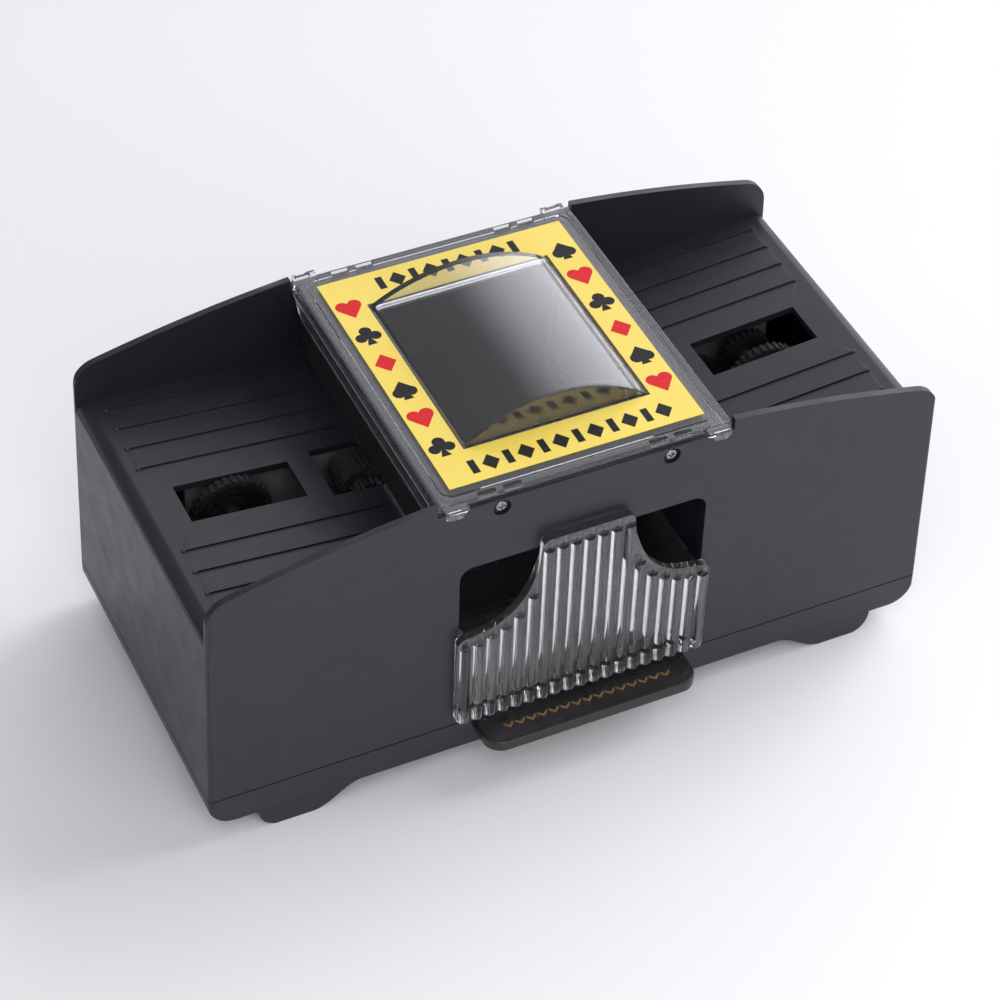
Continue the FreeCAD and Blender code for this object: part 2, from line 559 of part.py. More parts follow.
PH_TRANS = 0.0
PH_FEED = meshed_phase(TRANS, N_TRANS, PH_TRANS, FEED, N_FEED)
PH_WHEEL = meshed_phase(TRANS, N_TRANS, PH_TRANS, WHEEL, N_WHEEL)
PH_SMALL = meshed_phase(TRANS, N_TRANS, PH_TRANS, REDUCE, N_SMALL)
PH_BIG = PH_SMALL
PH_MOTOR = meshed_phase(REDUCE, N_BIG, PH_BIG, MOTOR, N_MOTOR)
HUB_LO, HUB_HI = CH_FRONT[1] + 0.3, CH_BACK[0] - 0.3


def transfer_gear():
    g = gear(N_TRANS, TRANS, PH_TRANS, *PLANE_A)
    # thin the disc between rim and hub
    for y0, y1 in ((PLANE_A[0] - 1, PLANE_A[0] + 0.8), (PLANE_A[1] - 0.8, PLANE_A[1] + 1)):
        g = g.cut(cyl_y(TRANS, 12.6, y0, y1))
    g = g.fuse(cyl_y(TRANS, 3.0, HUB_LO, HUB_HI))
    g = g.cut(cyl_y(TRANS, 1.05, -30, 30))
    holes = [cyl_y((TRANS[0] + 7.8 * math.cos(a), TRANS[1] + 7.8 * math.sin(a)), 2.4, -30, 30)
             for a in [math.radians(60 * k) for k in range(6)]]
    return g.cut(Part.makeCompound(holes)).removeSplitter()


def reduction_gear():
    g = gear(N_BIG, REDUCE, PH_BIG, *PLANE_B)
    g = g.cut(cyl_y(REDUCE, 9.8, PLANE_B[1] - 0.9, PLANE_B[1] + 1))
    g = g.fuse(cyl_y(REDUCE, 1.8, HUB_LO, HUB_HI))
    g = g.fuse(gear(N_SMALL, REDUCE, PH_SMALL, PLANE_A[0], PLANE_B[0] + 0.1))
    return g.cut(cyl_y(REDUCE, 1.05, -30, 30)).removeSplitter()


def motor_pinion():
    g = gear(N_MOTOR, MOTOR, PH_MOTOR, *PLANE_B)
    return g.cut(cyl_y(MOTOR, 1.02, -30, 30))


def feed_core():
    g = gear(N_FEED, FEED, PH_FEED, *PLANE_A)
    g = g.fuse(cyl_y(FEED, 3.5, PLANE_A[1] - 0.1, 6.0))
    g = g.fuse(cyl_y(FEED, 2.0, HUB_LO, HUB_HI))
    return g.cut(cyl_y(FEED, 1.02, -30, 30)).removeSplitter()


def ridged_ring(centre, r_out, r_in, y0, y1, n, depth):
    """Rubber tyre with n shallow ridges along its axis."""
    pts = []
    for k in range(n):
        c = 2 * math.pi * k / n
        w = 2 * math.pi / n
        for r, t in ((r_out - depth, -0.5), (r_out - depth, -0.32), (r_out, -0.18), (r_out, 0.18),
                     (r_out - depth, 0.32)):
            pts.append((centre[0] + r * math.cos(c + t * w), centre[1] + r * math.sin(c + t * w)))
    return poly_y(pts, y0, y1).cut(cyl_y(centre, r_in, y0 - 1, y1 + 1))


def feed_tyre():
    return ridged_ring(FEED, FEED_R, 3.52, -3.4, 6.0, 20, 0.35)


def wheel_core():
    g = gear(N_WHEEL, WHEEL, PH_WHEEL, *PLANE_A)
    g = g.fuse(cyl_y(WHEEL, 2.6, HUB_LO, HUB_HI))
    g = g.fuse(cyl_y(WHEEL, 9.2, 3.2, 5.2))
    holes = [cyl_y((WHEEL[0] + 6.0 * math.cos(a), WHEEL[1] + 6.0 * math.sin(a)), 1.9, 0, 30)
             for a in [math.radians(72 * k) for k in range(5)]]
    return g.cut(Part.makeCompound(holes)).cut(cyl_y(WHEEL, 1.02, -30, 30)).removeSplitter()


def wheel_tyre():
    return ridged_ring(WHEEL, WHEEL_R, 9.22, 2.9, 5.5, 34, 0.5)


# ---- drive module ----------------------------------------------------------------------------
AXLE_Y = (-15.2, 12.0)


def chassis():
    side = [(-84.0, 50.0), (-84.0, 68.8), (-38.5, 64.95), (-38.5, 57.0), (-44.0, 26.0), (-82.0, 26.0)]
    adds = [poly_y(side, *CH_BACK), box(-82.0, -44.0, CH_FRONT[0], CH_BACK[1], 26.0, 27.8),
            box(-68.9, -47.6, MOTOR_FACE - 1.8, MOTOR_FACE, 27.0, 45.4)]
    for x, y in CH_SCREWS:
        a, b = (y - 4, CH_FRONT[0] + 0.5) if y < 0 else (CH_BACK[1] - 0.5, y + 4)
        adds.append(box(x - 4, x + 4, a, b, *EAR_Z))
    body = poly_y(side, *CH_FRONT).multiFuse(adds)
    cuts = [cyl_y(FEED, 1.05, -30, 30), cyl_y(WHEEL, 1.05, -30, 30),
            cyl_y(TRANS, 1.02, -30, 30), cyl_y(REDUCE, 1.02, -30, 30),
            cyl_y(MOTOR, 3.3, MOTOR_FACE - 3, MOTOR_FACE + 1), cyl_y(MOTOR, 4.0, -20, -12),
            box(MOTOR[0] - 10.3, MOTOR[0] + 10.3, CH_BACK[0] - 1, CH_BACK[1] + 1,
                MOTOR[1] - 7.8, MOTOR[1] + 7.8)]
    for x, y in CH_SCREWS:
        cuts.append(cyl_z(x, y, 1.5, EAR_Z[0] - 1, EAR_Z[1] + 1))
    return body.cut(Part.makeCompound(cuts)).removeSplitter()


def axle(p):
    return cyl_y(p, 1.0, *AXLE_Y)


def motor_can():
    x, z = MOTOR
    can = cyl_y(MOTOR, 10.0, MOTOR_FACE + 0.02, MOTOR_FACE + 22)
    can = can.common(box(x - 20, x + 20, -30, 60, z - 7.5, z + 7.5))
    can = can.fuse(cyl_y(MOTOR, 3.1, MOTOR_FACE - 1.7, MOTOR_FACE + 1))
    return can.cut(cyl_y(MOTOR, 1.05, -30, 60)).removeSplitter()


def motor_cap():
    x, z = MOTOR
    y0, y1 = MOTOR_FACE + 22.02, MOTOR_FACE + MOTOR_LEN
    cap = cyl_y(MOTOR, 9.7, y0, y1).common(box(x - 20, x + 20, -30, 60, z - 7.3, z + 7.3))
    return cap.cut(cyl_y(MOTOR, 1.05, -30, 60))


def motor_tabs():
    x, z = MOTOR
    y1 = MOTOR_FACE + MOTOR_LEN
    return Part.makeCompound([box(x + s * 6 - 1.2, x + s * 6 + 1.2, y1 + 0.02, y1 + 3.2, z - 0.2, z + 0.2)
                              for s in (1, -1)])


def motor_shaft():
    return cyl_y(MOTOR, 1.0, PLANE_B[0] - 0.2, MOTOR_FACE + MOTOR_LEN + 1.0)


def motor_strap():
    x, z = MOTOR
    y0, y1 = 3.0, 8.0
    top = box(x - 11.2, x + 11.2, y0, y1, z + 7.6, z + 8.4)
    legs = [box(x + s * 10.8 - 0.4, x + s * 10.8 + 0.4, y0, y1, 27.85, z + 8.4) for s in (1, -1)]
    return top.multiFuse(legs).removeSplitter()


def screw(r_head, h_head, r_shank, length):
    """Cross-head screw pointing +Z, head below z = 0."""
    head = Part.makeCylinder(r_head, h_head, V(0, 0, -h_head))
    head = head.makeFillet(h_head * 0.4, [e for e in head.Edges if e.BoundBox.ZMax < -h_head + 1e-6])
    s = head.fuse(Part.makeCylinder(r_shank, length))
    for a, b in ((0.7, 0.22), (0.22, 0.7)):
        s = s.cut(Part.makeBox(2 * a * r_head, 2 * b * r_head, h_head * 0.55,
                               V(-a * r_head, -b * r_head, -h_head - 0.01)))
    return s.removeSplitter()


def chassis_screws():
    out = []
    for x, y in CH_SCREWS:
        s = screw(2.4, 1.7, 1.2, 9.0)
        s.translate(V(x, y, EAR_Z[0] - 0.02))
        out.append(s)
    return Part.makeCompound(out)


def base_screws():
    out = []
    for x, y in BASE_SCREWS:
        s = screw(2.7, 2.0, 1.2, 18.0)
        s.translate(V(x, y, 10.38))
        out.append(s)
    return Part.makeCompound(out)


def gate_screws():
    out = []
    for sx in (1, -1):
        for sy in (1, -1):
            s = screw(GATE_HEAD_R, 0.8, GATE_SHANK_R, 6.2)
            s.rotate(V(0, 0, 0), V(1, 0, 0), -90 if sy < 0 else 90)
            s.translate(V(sx * GATE_SCREW_X, sy * (half_w(GATE_SCREW_Z) - GATE_RECESS + 0.02), GATE_SCREW_Z))
            out.append(s)
    return Part.makeCompound(out)


# ---- batteries and contacts -------------------------------------------------------------------
def cells():
    out = []
    for n, y in enumerate(CELL_YS):
        c = cyl_x(y, CELL_Z, CELL_R, CELL_X[0] + 1.0, CELL_X[1])
        c = c.makeFillet(0.8, [e for e in c.Edges if e.BoundBox.XLength < 1e-6])
        c = c.fuse(cyl_x(y, CELL_Z, 2.7, CELL_X[0], CELL_X[0] + 2))
        if n % 2:
            m = (CELL_X[0] + CELL_X[1]) / 2
            c = c.mirror(V(m, 0, 0), V(1, 0, 0))
        out.append(c)
    return Part.makeCompound(out)


def cell_springs():
    out = []
    for n, y in enumerate(CELL_YS):
        at_low = bool(n % 2)
        s = coil(0, 0, 0, 2.05 if at_low else 2.55, 3.6, 0.3, 0.85)
        s.rotate(V(0, 0, 0), V(0, 1, 0), 90 if at_low else -90)
        s.translate(V(41.08 if at_low else 96.32, y, CELL_Z))
        out.append(s)
    return Part.makeCompound(out)


def cell_plates():
    out = []
    for ya, yb in ((-22.05, -7.35), (7.35, 22.05)):
        out.append(box(40.65, 41.05, ya - 5, yb + 5, CELL_Z - 5, CELL_Z + 5))
    out.append(box(96.35, 96.75, -12.35, 12.35, CELL_Z - 5, CELL_Z + 5))
    for y in (CELL_YS[0], CELL_YS[3]):
        p = box(96.35, 96.75, y - 5, y + 5, CELL_Z - 5, CELL_Z + 5)
        out.append(p.fuse(box(96.35, 96.75, y - 1, y + 1, CELL_Z, BOX_Z + 2.5)).removeSplitter())
    return Part.makeCompound(out)


# ---- wires ---------------------------------------------------------------------------------------
def wire(pts):
    """Round wire through the points, with ball corners."""
    s = []
    for a, b in zip(pts, pts[1:]):
        va, vb = V(*a), V(*b)
        s.append(Part.makeCylinder(WIRE_R, (vb - va).Length, va, vb - va))
    for p in pts[1:-1]:
        s.append(Part.makeSphere(WIRE_R, V(*p)))
    return s[0].multiFuse(s[1:]).removeSplitter()


TAB_END = MOTOR_FACE + MOTOR_LEN + 3.3 + WIRE_R
FLOOR_RUN = BASE_Z + 2.0 + WIRE_R + 0.1


def wire_battery():
    """Battery box to the lower leaf of the switch."""
    y, zt, z = CELL_YS[3], BOX_Z + 1.5, FLOOR_RUN
    return wire([(97.4, y, zt), (97.4, 32.8, zt), (97.4, 32.8, 13.5), (95.0, 32.8, z + 1), (30.0, 32.8, z),
                 (30.0, -38.0, z), (19.5, -38.0, z), (18.2, -38.0, 10.0), (15.55, -38.0, 10.0)])


def wire_switch():
    """Upper leaf of the switch to the left motor."""
    x, z = MOTOR[0] - 6, FLOOR_RUN
    return wire([(8.45, -42.0, 10.5), (5.6, -42.0, 10.5), (5.0, -43.3, z), (-30.0, -43.3, z),
                 (-30.0, 33.0, z), (x, 33.0, z), (x, 33.0, MOTOR[1]), (x, TAB_END, MOTOR[1])])


def wire_link():
    """Left motor to the right motor, across the base and up past the battery box."""
    x, z, zm = MOTOR[0] - 6, FLOOR_RUN, MOTOR[1] - 1.3
    return wire([(x, TAB_END, zm), (x, 31.2, zm), (x - 1.8, 31.2, z), (x - 1.8, 36.0, z), (41.0, 36.0, z),
                 (41.0, 36.0, 30.0), (41.0, -33.0, 30.0), (-x, -33.0, MOTOR[1]), (-x, -TAB_END, MOTOR[1])])


def wire_return_left():
    """Left motor back to the battery box."""
    x, z, y, zt = MOTOR[0] + 6, FLOOR_RUN, CELL_YS[0], BOX_Z + 1.5
    return wire([(x, TAB_END, MOTOR[1]), (x, 31.2, MOTOR[1]), (x, 31.2, z), (-36.0, 26.0, z),
                 (-36.0, -44.6, z), (34.0, -44.6, z), (38.0, -36.4, z), (84.0, -36.4, z),
                 (86.0, -32.9, 13.0), (97.5, -32.9, 14.0), (97.5, -32.9, zt), (97.5, y, zt)])


def wire_return_right():
    """Right motor back to the battery box."""
    x, y, zt = -MOTOR[0] - 6, CELL_YS[0], BOX_Z + 1.0
    return wire([(x, -TAB_END, MOTOR[1]), (x, -31.2, MOTOR[1]), (x, -31.2, zt), (90.0, -31.2, zt),
                 (92.0, y, zt + 0.3), (95.7, y, zt + 0.5)])


# ---- export -------------------------------------------------------------------------------------
SIDE = [("chassis", chassis), ("chassis_screws", chassis_screws), ("motor_can", motor_can),
        ("motor_cap", motor_cap), ("motor_tabs", motor_tabs), ("motor_shaft", motor_shaft),
        ("motor_pinion", motor_pinion), ("motor_strap", motor_strap), ("reduction_gear", reduction_gear),
        ("reduction_axle", lambda: axle(REDUCE)), ("transfer_gear", transfer_gear),
        ("transfer_axle", lambda: axle(TRANS)), ("feed_core", feed_core), ("feed_tyre", feed_tyre),
        ("feed_shaft", lambda: axle(FEED)), ("wheel_core", wheel_core), ("wheel_tyre", wheel_tyre),
        ("wheel_shaft", lambda: axle(WHEEL))]

SINGLE = [("upper_housing", upper_housing), ("base", base), ("battery_door", battery_door),
          ("gate_frame", gate_frame), ("gate_screws", gate_screws), ("top_cover", top_cover),
          ("cover_label", cover_label), ("drawer", drawer), ("lever", lever), ("lever_pin", lever_pin),
          ("lever_spring", lever_spring), ("switch_leaf_lower", switch_leaf_lower),
          ("switch_leaf_upper", switch_leaf_upper), ("base_screws", base_screws), ("cells", cells),
          ("cell_springs", cell_springs), ("cell_plates", cell_plates), ("wire_battery", wire_battery),
          ("wire_switch", wire_switch), ("wire_link", wire_link), ("wire_return_left", wire_return_left),
          ("wire_return_right", wire_return_right)]


def export(name, shape):
    s = shape.copy()
    s.translate(V(0, SHIFT_Y, 0))
    s.exportStep("parts/%s.step" % name)
    print(name, "solids", len(s.Solids), "valid", s.isValid(), "vol %.1f" % s.Volume)


os.makedirs("parts", exist_ok=True)
for name, make in SINGLE:
    export(name, make())
for name, make in SIDE:
    s = make()
    export(name + "_left", s)
    export(name + "_right", turned(s))
print("shafts", FEED, WHEEL, TRANS, REDUCE, MOTOR, "shift", SHIFT_Y)
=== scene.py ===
import math

import bmesh
import bpy
from mathutils import Matrix, Vector


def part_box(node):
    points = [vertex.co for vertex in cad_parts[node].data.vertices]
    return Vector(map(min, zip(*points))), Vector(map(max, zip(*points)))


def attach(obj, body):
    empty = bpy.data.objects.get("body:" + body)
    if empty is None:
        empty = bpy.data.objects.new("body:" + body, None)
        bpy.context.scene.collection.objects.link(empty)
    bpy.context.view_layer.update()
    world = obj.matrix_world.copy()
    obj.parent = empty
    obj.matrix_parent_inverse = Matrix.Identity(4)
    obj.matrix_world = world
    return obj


# Automatic card shuffler: materials, printed label and studio around the CAD frame.
# Metres, +Z up, front is -Y.

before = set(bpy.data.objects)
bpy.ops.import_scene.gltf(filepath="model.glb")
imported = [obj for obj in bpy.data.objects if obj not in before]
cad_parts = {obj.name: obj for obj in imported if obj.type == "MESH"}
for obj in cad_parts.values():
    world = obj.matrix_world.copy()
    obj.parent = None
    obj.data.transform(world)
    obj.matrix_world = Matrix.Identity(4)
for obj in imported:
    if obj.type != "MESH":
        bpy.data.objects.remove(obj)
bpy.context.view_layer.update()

MM = 0.001
SIDES = ("left", "right")
POLYSTYRENE_IOR = 1.59


# ---- node helpers ----------------------------------------------------------------------------
class Shader:
    """One node material with a Principled shader and short calls for the nodes it needs."""

    def __init__(self, name, **sockets):
        self.material = bpy.data.materials.new(name)
        self.material.use_nodes = True
        self.tree = self.material.node_tree
        self.bsdf = self.tree.nodes["Principled BSDF"]
        self.place = self.tree.nodes.new("ShaderNodeTexCoord").outputs["Object"]
        for socket, value in sockets.items():
            self.bsdf.inputs[socket.replace("_", " ")].default_value = value

    def node(self, kind, inputs=(), **settings):
        made = self.tree.nodes.new(kind)
        for key, value in settings.items():
            setattr(made, key, value)
        for key, value in dict(inputs).items():
            if isinstance(value, bpy.types.NodeSocket):
                self.tree.links.new(value, made.inputs[key])
            else:
                made.inputs[key].default_value = value
        return made

    def noise(self, size_mm, detail=2.0, roughness=0.5, stretch=None):
        """Noise whose features are about size_mm across; stretch scales the axes."""
        place = self.place
        if stretch:
            place = self.node("ShaderNodeMapping", {"Vector": place, "Scale": stretch}).outputs["Vector"]
        made = self.node("ShaderNodeTexNoise", {"Vector": place, "Scale": 1 / (size_mm * MM),
                                                "Detail": detail, "Roughness": roughness})
        return made.outputs["Fac"]

    def cells(self, size_mm):
        return self.node("ShaderNodeTexVoronoi", {"Vector": self.place, "Scale": 1 / (size_mm * MM)})

    def axis(self, name):
        return self.node("ShaderNodeSeparateXYZ", {"Vector": self.place}).outputs[name]

    def math(self, kind, a, b=0.0):
        return self.node("ShaderNodeMath", {0: a, 1: b}, operation=kind).outputs[0]

    def ramp(self, value, *stops):
        """Colour or grey ramp; a stop is (position, grey) or (position, (r, g, b))."""
        made = self.node("ShaderNodeValToRGB", {"Fac": value})
        points = made.color_ramp.elements
        while len(points) < len(stops):
            points.new(0.5)
        for point, (position, shade) in zip(points, stops):
            rgb = shade if isinstance(shade, tuple) else (shade,) * 3
            point.position = position
            point.color = (*rgb, 1)
        return made.outputs["Color"]

    def mix(self, share, a, b, kind="MIX"):
        made = self.node("ShaderNodeMix", data_type="RGBA", blend_type=kind)
        for socket, value in ((0, share), (6, a), (7, b)):
            if isinstance(value, bpy.types.NodeSocket):
                self.tree.links.new(value, made.inputs[socket])
            elif socket:
                made.inputs[socket].default_value = (*value, 1)
            else:
                made.inputs[socket].default_value = value
        return made.outputs[2]

    def feed(self, socket, value):
        self.tree.links.new(value, self.bsdf.inputs[socket])

    def bump(self, height, depth_mm, strength=1.0, below=None):
        inputs = {"Height": height, "Distance": depth_mm * MM, "Strength": strength}
        if below is not None:
            inputs["Normal"] = below
        return self.node("ShaderNodeBump", inputs).outputs["Normal"]


# ---- plastics ----------------------------------------------------------------------------------
def moulded_black(name, dark, light, gloss, grain_mm=0.35, dust=0.10):
    """Black moulded plastic with a fine spark-eroded grain, faint clouding and a few specks of dust."""
    s = Shader(name, Specular_IOR_Level=0.5, IOR=1.5)
    cloud = s.ramp(s.noise(24, 4, 0.6), (0.3, dark), (0.7, light))
    grain = s.noise(grain_mm, 3, 0.65)
    speckled = s.mix(0.25, cloud, s.ramp(grain, (0.3, 0.0), (0.75, (0.040, 0.038, 0.056))), "ADD")
    cell = s.cells(2.4)
    near = s.math("LESS_THAN", cell.outputs["Distance"], 0.055)
    pick = s.node("ShaderNodeSeparateColor", {0: cell.outputs["Color"]}).outputs[0]
    rare = s.math("GREATER_THAN", pick, 0.55)
    speck = s.math("MULTIPLY", s.math("MULTIPLY", near, rare), dust)
    s.feed("Base Color", s.mix(speck, speckled, (0.75, 0.75, 0.78)))
    rough = s.ramp(s.noise(7, 3, 0.6), (0.25, gloss - 0.05), (0.75, gloss + 0.07))
    s.feed("Roughness", rough)
    s.feed("Normal", s.bump(grain, 0.02, 0.6, below=s.bump(s.noise(9, 2), 0.05, 0.25)))
    return s.material


def clear_plastic(name, tint, clarity):
    """Clear polystyrene: polished, with faint streaks of haze."""
    s = Shader(name, Transmission_Weight=clarity, IOR=POLYSTYRENE_IOR, Specular_IOR_Level=0.5)
    paler = tuple(min(1.0, c * 1.03) for c in tint)
    s.feed("Base Color", s.ramp(s.noise(30, 2), (0.3, tint), (0.7, paler)))
    hair = s.noise(5, 2, 0.5, stretch=(1, 0.05, 1))
    s.feed("Roughness", s.ramp(hair, (0.45, 0.012), (0.75, 0.035)))
    return s.material


def coloured_plastic(name, dark, light, gloss):
    """Plain coloured moulding: slight tone drift and a satin, faintly uneven skin."""
    s = Shader(name, IOR=1.5)
    grain_mm = 1.2
    s.feed("Base Color", s.ramp(s.noise(grain_mm * 6, 3), (0.3, dark), (0.7, light)))
    s.feed("Roughness", s.ramp(s.noise(grain_mm, 3), (0.3, gloss - 0.06), (0.7, gloss + 0.08)))
    s.feed("Normal", s.bump(s.noise(grain_mm * 0.3, 3), 0.015, 0.5))
    return s.material


def ridged_rubber(name):
    """Matt black rubber, slightly dusty where cards have polished it."""
    s = Shader(name, IOR=1.5, Specular_IOR_Level=0.25)
    worn = s.noise(1.6, 4, 0.65)
    s.feed("Base Color", s.ramp(worn, (0.35, 0.008), (0.62, 0.02), (0.8, 0.045)))
    s.feed("Roughness", s.ramp(worn, (0.3, 0.62), (0.7, 0.85)))
    s.feed("Normal", s.bump(s.noise(0.25, 3, 0.7), 0.03, 0.8))
    return s.material


# ---- metals -------------------------------------------------------------------------------------
def metal(name, dark, light, gloss, stretch=(1, 1, 1), size_mm=1.0):
    """Metal with a drawn or plated surface; stretch gives the direction of the drawing lines."""
    s = Shader(name, Metallic=1.0)
    lines = s.noise(size_mm, 5, 0.6, stretch=stretch)
    s.feed("Base Color", s.ramp(lines, (0.3, dark), (0.7, light)))
    s.feed("Roughness", s.ramp(lines, (0.3, gloss), (0.75, gloss + 0.16)))
    s.feed("Normal", s.bump(lines, 0.01, 0.6))
    return s.material


def cell_sleeve(name, x_plus, x_minus):
    """Printed cell sleeve: dark blue with a copper band at one end."""
    s = Shader(name, IOR=1.5, Coat_Weight=0.6)
    x = s.axis("X")
    span = s.node("ShaderNodeMapRange", {"Value": x, "From Min": x_minus, "From Max": x_plus}).outputs[0]
    band = s.ramp(span, (0.0, (0.02, 0.05, 0.16)), (0.62, (0.02, 0.06, 0.20)), (0.64, (0.62, 0.30, 0.13)),
                  (0.97, (0.70, 0.36, 0.16)))
    s.feed("Base Color", s.mix(0.15, band, s.ramp(s.noise(2, 4), (0.3, 0.0), (0.7, 0.35)), "MULTIPLY"))
    s.feed("Roughness", s.ramp(s.noise(3, 3), (0.3, 0.22), (0.7, 0.35)))
    return s.material


# ---- print ---------------------------------------------------------------------------------------
def label_stock(name):
    """Yellow gloss label with a tiny tone drift."""
    s = Shader(name, IOR=1.5, Coat_Weight=0.35, Coat_Roughness=0.18)
    drift = s.ramp(s.noise(18, 3), (0.25, (0.93, 0.69, 0.085)), (0.75, (0.98, 0.77, 0.125)))
    dots = s.ramp(s.noise(0.3, 2), (0.35, 0.90), (0.65, 1.0))
    s.feed("Base Color", s.mix(1.0, drift, dots, "MULTIPLY"))
    s.feed("Roughness", s.ramp(s.noise(5, 3), (0.3, 0.30), (0.7, 0.42)))
    s.feed("Normal", s.bump(s.noise(0.8, 3), 0.01, 0.35))
    return s.material


def ink(name, dark, light, gloss, metallic=0.0):
    """A printed layer, a little mottled as screen print is."""
    s = Shader(name, IOR=1.5, Metallic=metallic, Specular_IOR_Level=0.18)
    s.feed("Base Color", s.ramp(s.noise(0.6, 4, 0.7), (0.35, dark), (0.65, light)))
    s.feed("Roughness", s.ramp(s.noise(1.5, 3), (0.3, gloss - 0.05), (0.7, gloss + 0.1)))
    return s.material


cells_low, cells_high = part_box("cells")
MATERIALS = {
    "case_black": moulded_black("case_black", (0.0082, 0.0078, 0.0122), (0.011, 0.0105, 0.016), 0.42),
    "inner_black": moulded_black("inner_black", (0.0088, 0.0086, 0.010), (0.0118, 0.0115, 0.013), 0.5,
                                 grain_mm=0.5, dust=0.05),
    "lever_black": moulded_black("lever_black", 0.007, 0.010, 0.28, grain_mm=0.6, dust=0.06),
    "clear": clear_plastic("clear", (0.95, 0.955, 0.98), 0.975),
    "clear_drawer": clear_plastic("clear_drawer", (0.95, 0.95, 0.98), 0.985),
    "label": label_stock("label"),
    "rubber": ridged_rubber("rubber"),
    "black_pom": coloured_plastic("black_pom", 0.008, 0.014, 0.36),
    "grey_pom": coloured_plastic("grey_pom", 0.11, 0.14, 0.45),
    "white_nylon": coloured_plastic("white_nylon", (0.70, 0.69, 0.63), (0.80, 0.79, 0.73), 0.42),
    "steel": metal("steel", 0.48, 0.66, 0.20, stretch=(1, 0.08, 1)),
    "strap_steel": metal("strap_steel", 0.42, 0.58, 0.30, stretch=(0.2, 1, 1)),
    "screw_steel": metal("screw_steel", 0.50, 0.72, 0.22, size_mm=0.5),
    "dark_screw": metal("dark_screw", 0.26, 0.42, 0.20, size_mm=0.5),
    "motor_zinc": metal("motor_zinc", 0.50, 0.62, 0.30, stretch=(1, 0.15, 1), size_mm=2.0),
    "brass": metal("brass", (0.62, 0.42, 0.14), (0.80, 0.58, 0.24), 0.25),
    "cell_jacket": cell_sleeve("cell_jacket", cells_high.x, cells_low.x),
    "wire_red": coloured_plastic("wire_red", (0.45, 0.02, 0.015), (0.58, 0.04, 0.03), 0.32),
    "wire_black": coloured_plastic("wire_black", 0.012, 0.02, 0.32),
    "ink_red": ink("ink_red", (0.62, 0.010, 0.016), (0.75, 0.022, 0.03), 0.35),
    "ink_black": ink("ink_black", 0.010, 0.020, 0.32),
    "ink_gold": ink("ink_gold", (0.30, 0.17, 0.06), (0.48, 0.30, 0.12), 0.35, metallic=0.7),
}

CASE_FINISH = {
    "upper_housing": "case_black", "base": "case_black", "battery_door": "case_black",
    "gate_frame": "inner_black", "lever": "lever_black", "top_cover": "clear", "drawer": "clear_drawer",
    "cover_label": "label", "gate_screws": "dark_screw", "base_screws": "screw_steel", "lever_pin": "steel",
    "lever_spring": "steel", "switch_leaf_lower": "brass", "switch_leaf_upper": "brass",
    "cells": "cell_jacket", "cell_springs": "steel", "cell_plates": "strap_steel",
    "wire_battery": "wire_red", "wire_switch": "wire_red", "wire_link": "wire_red",
    "wire_return_left": "wire_black", "wire_return_right": "wire_black",
}
SIDE_FINISH = {
    "chassis": "grey_pom", "chassis_screws": "screw_steel", "motor_can": "motor_zinc",
    "motor_cap": "white_nylon", "motor_tabs": "brass", "motor_shaft": "steel", "motor_pinion": "brass",
    "motor_strap": "strap_steel", "reduction_gear": "black_pom", "reduction_axle": "steel",
    "transfer_gear": "black_pom", "transfer_axle": "steel", "feed_core": "black_pom",
    "feed_tyre": "rubber", "feed_shaft": "steel", "wheel_core": "black_pom", "wheel_tyre": "rubber",
    "wheel_shaft": "steel",
}
# the moulded edges that catch the light, with the radius of each in mm
EDGE_RADIUS = {"upper_housing": 0.35, "base": 0.3, "lever": 0.3, "top_cover": 0.15, "drawer": 0.18,
               "gate_frame": 0.25, "battery_door": 0.2}


def soften(node, radius):
    """Rounds the sharp edges of a moulding."""
    weld = node.modifiers.new("weld", "WELD")
    weld.merge_threshold = 1e-6
    bevel = node.modifiers.new("edges", "BEVEL")
    bevel.width = radius
    bevel.segments = 2
    bevel.limit_method = "ANGLE"
    bevel.angle_limit = math.radians(35)
    bevel.use_clamp_overlap = True
    shade = node.modifiers.new("shading", "WEIGHTED_NORMAL")
    shade.weight = 80


def finish_cad():
    finish = dict(CASE_FINISH)
    for side in SIDES:
        for part, material in SIDE_FINISH.items():
            finish[f"{part}_{side}"] = material
    for name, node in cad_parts.items():
        node.data.materials.clear()
        node.data.materials.append(MATERIALS[finish[name]])
        if name in EDGE_RADIUS:
            soften(node, EDGE_RADIUS[name] * MM)


# ---- printed marks -----------------------------------------------------------------------------
OUTLINE_STEPS = 120


def far_hit(primitive, angle):
    """Distance from the origin to the far side of a circle or polygon along an angle."""
    ux, uy = math.cos(angle), math.sin(angle)
    if len(primitive) == 3 and not isinstance(primitive[0], tuple):
        cx, cy, r = primitive
        along = cx * ux + cy * uy
        off = along * along - (cx * cx + cy * cy - r * r)
        return along + math.sqrt(off) if off > 0 else 0.0
    best = 0.0
    for (ax, ay), (bx, by) in zip(primitive, primitive[1:] + primitive[:1]):
        ex, ey = bx - ax, by - ay
        cross = ux * ey - uy * ex
        if abs(cross) < 1e-9:
            continue
        t = (ax * ey - ay * ex) / cross
        s = (ax * uy - ay * ux) / cross
        if t > best and -1e-9 <= s <= 1 + 1e-9:
            best = t
    return best


def outline(primitives):
    """Edge of the union of circles and polygons, seen from the origin inside it."""
    angles = [2 * math.pi * k / OUTLINE_STEPS for k in range(OUTLINE_STEPS)]
    for primitive in primitives:
        if isinstance(primitive[0], tuple):
            angles += [math.atan2(y, x) % (2 * math.pi) for x, y in primitive]
    points = []
    for angle in sorted(set(round(a, 5) for a in angles)):
        reach = max(far_hit(p, angle) for p in primitives)
        points.append((reach * math.cos(angle), reach * math.sin(angle)))
    return points


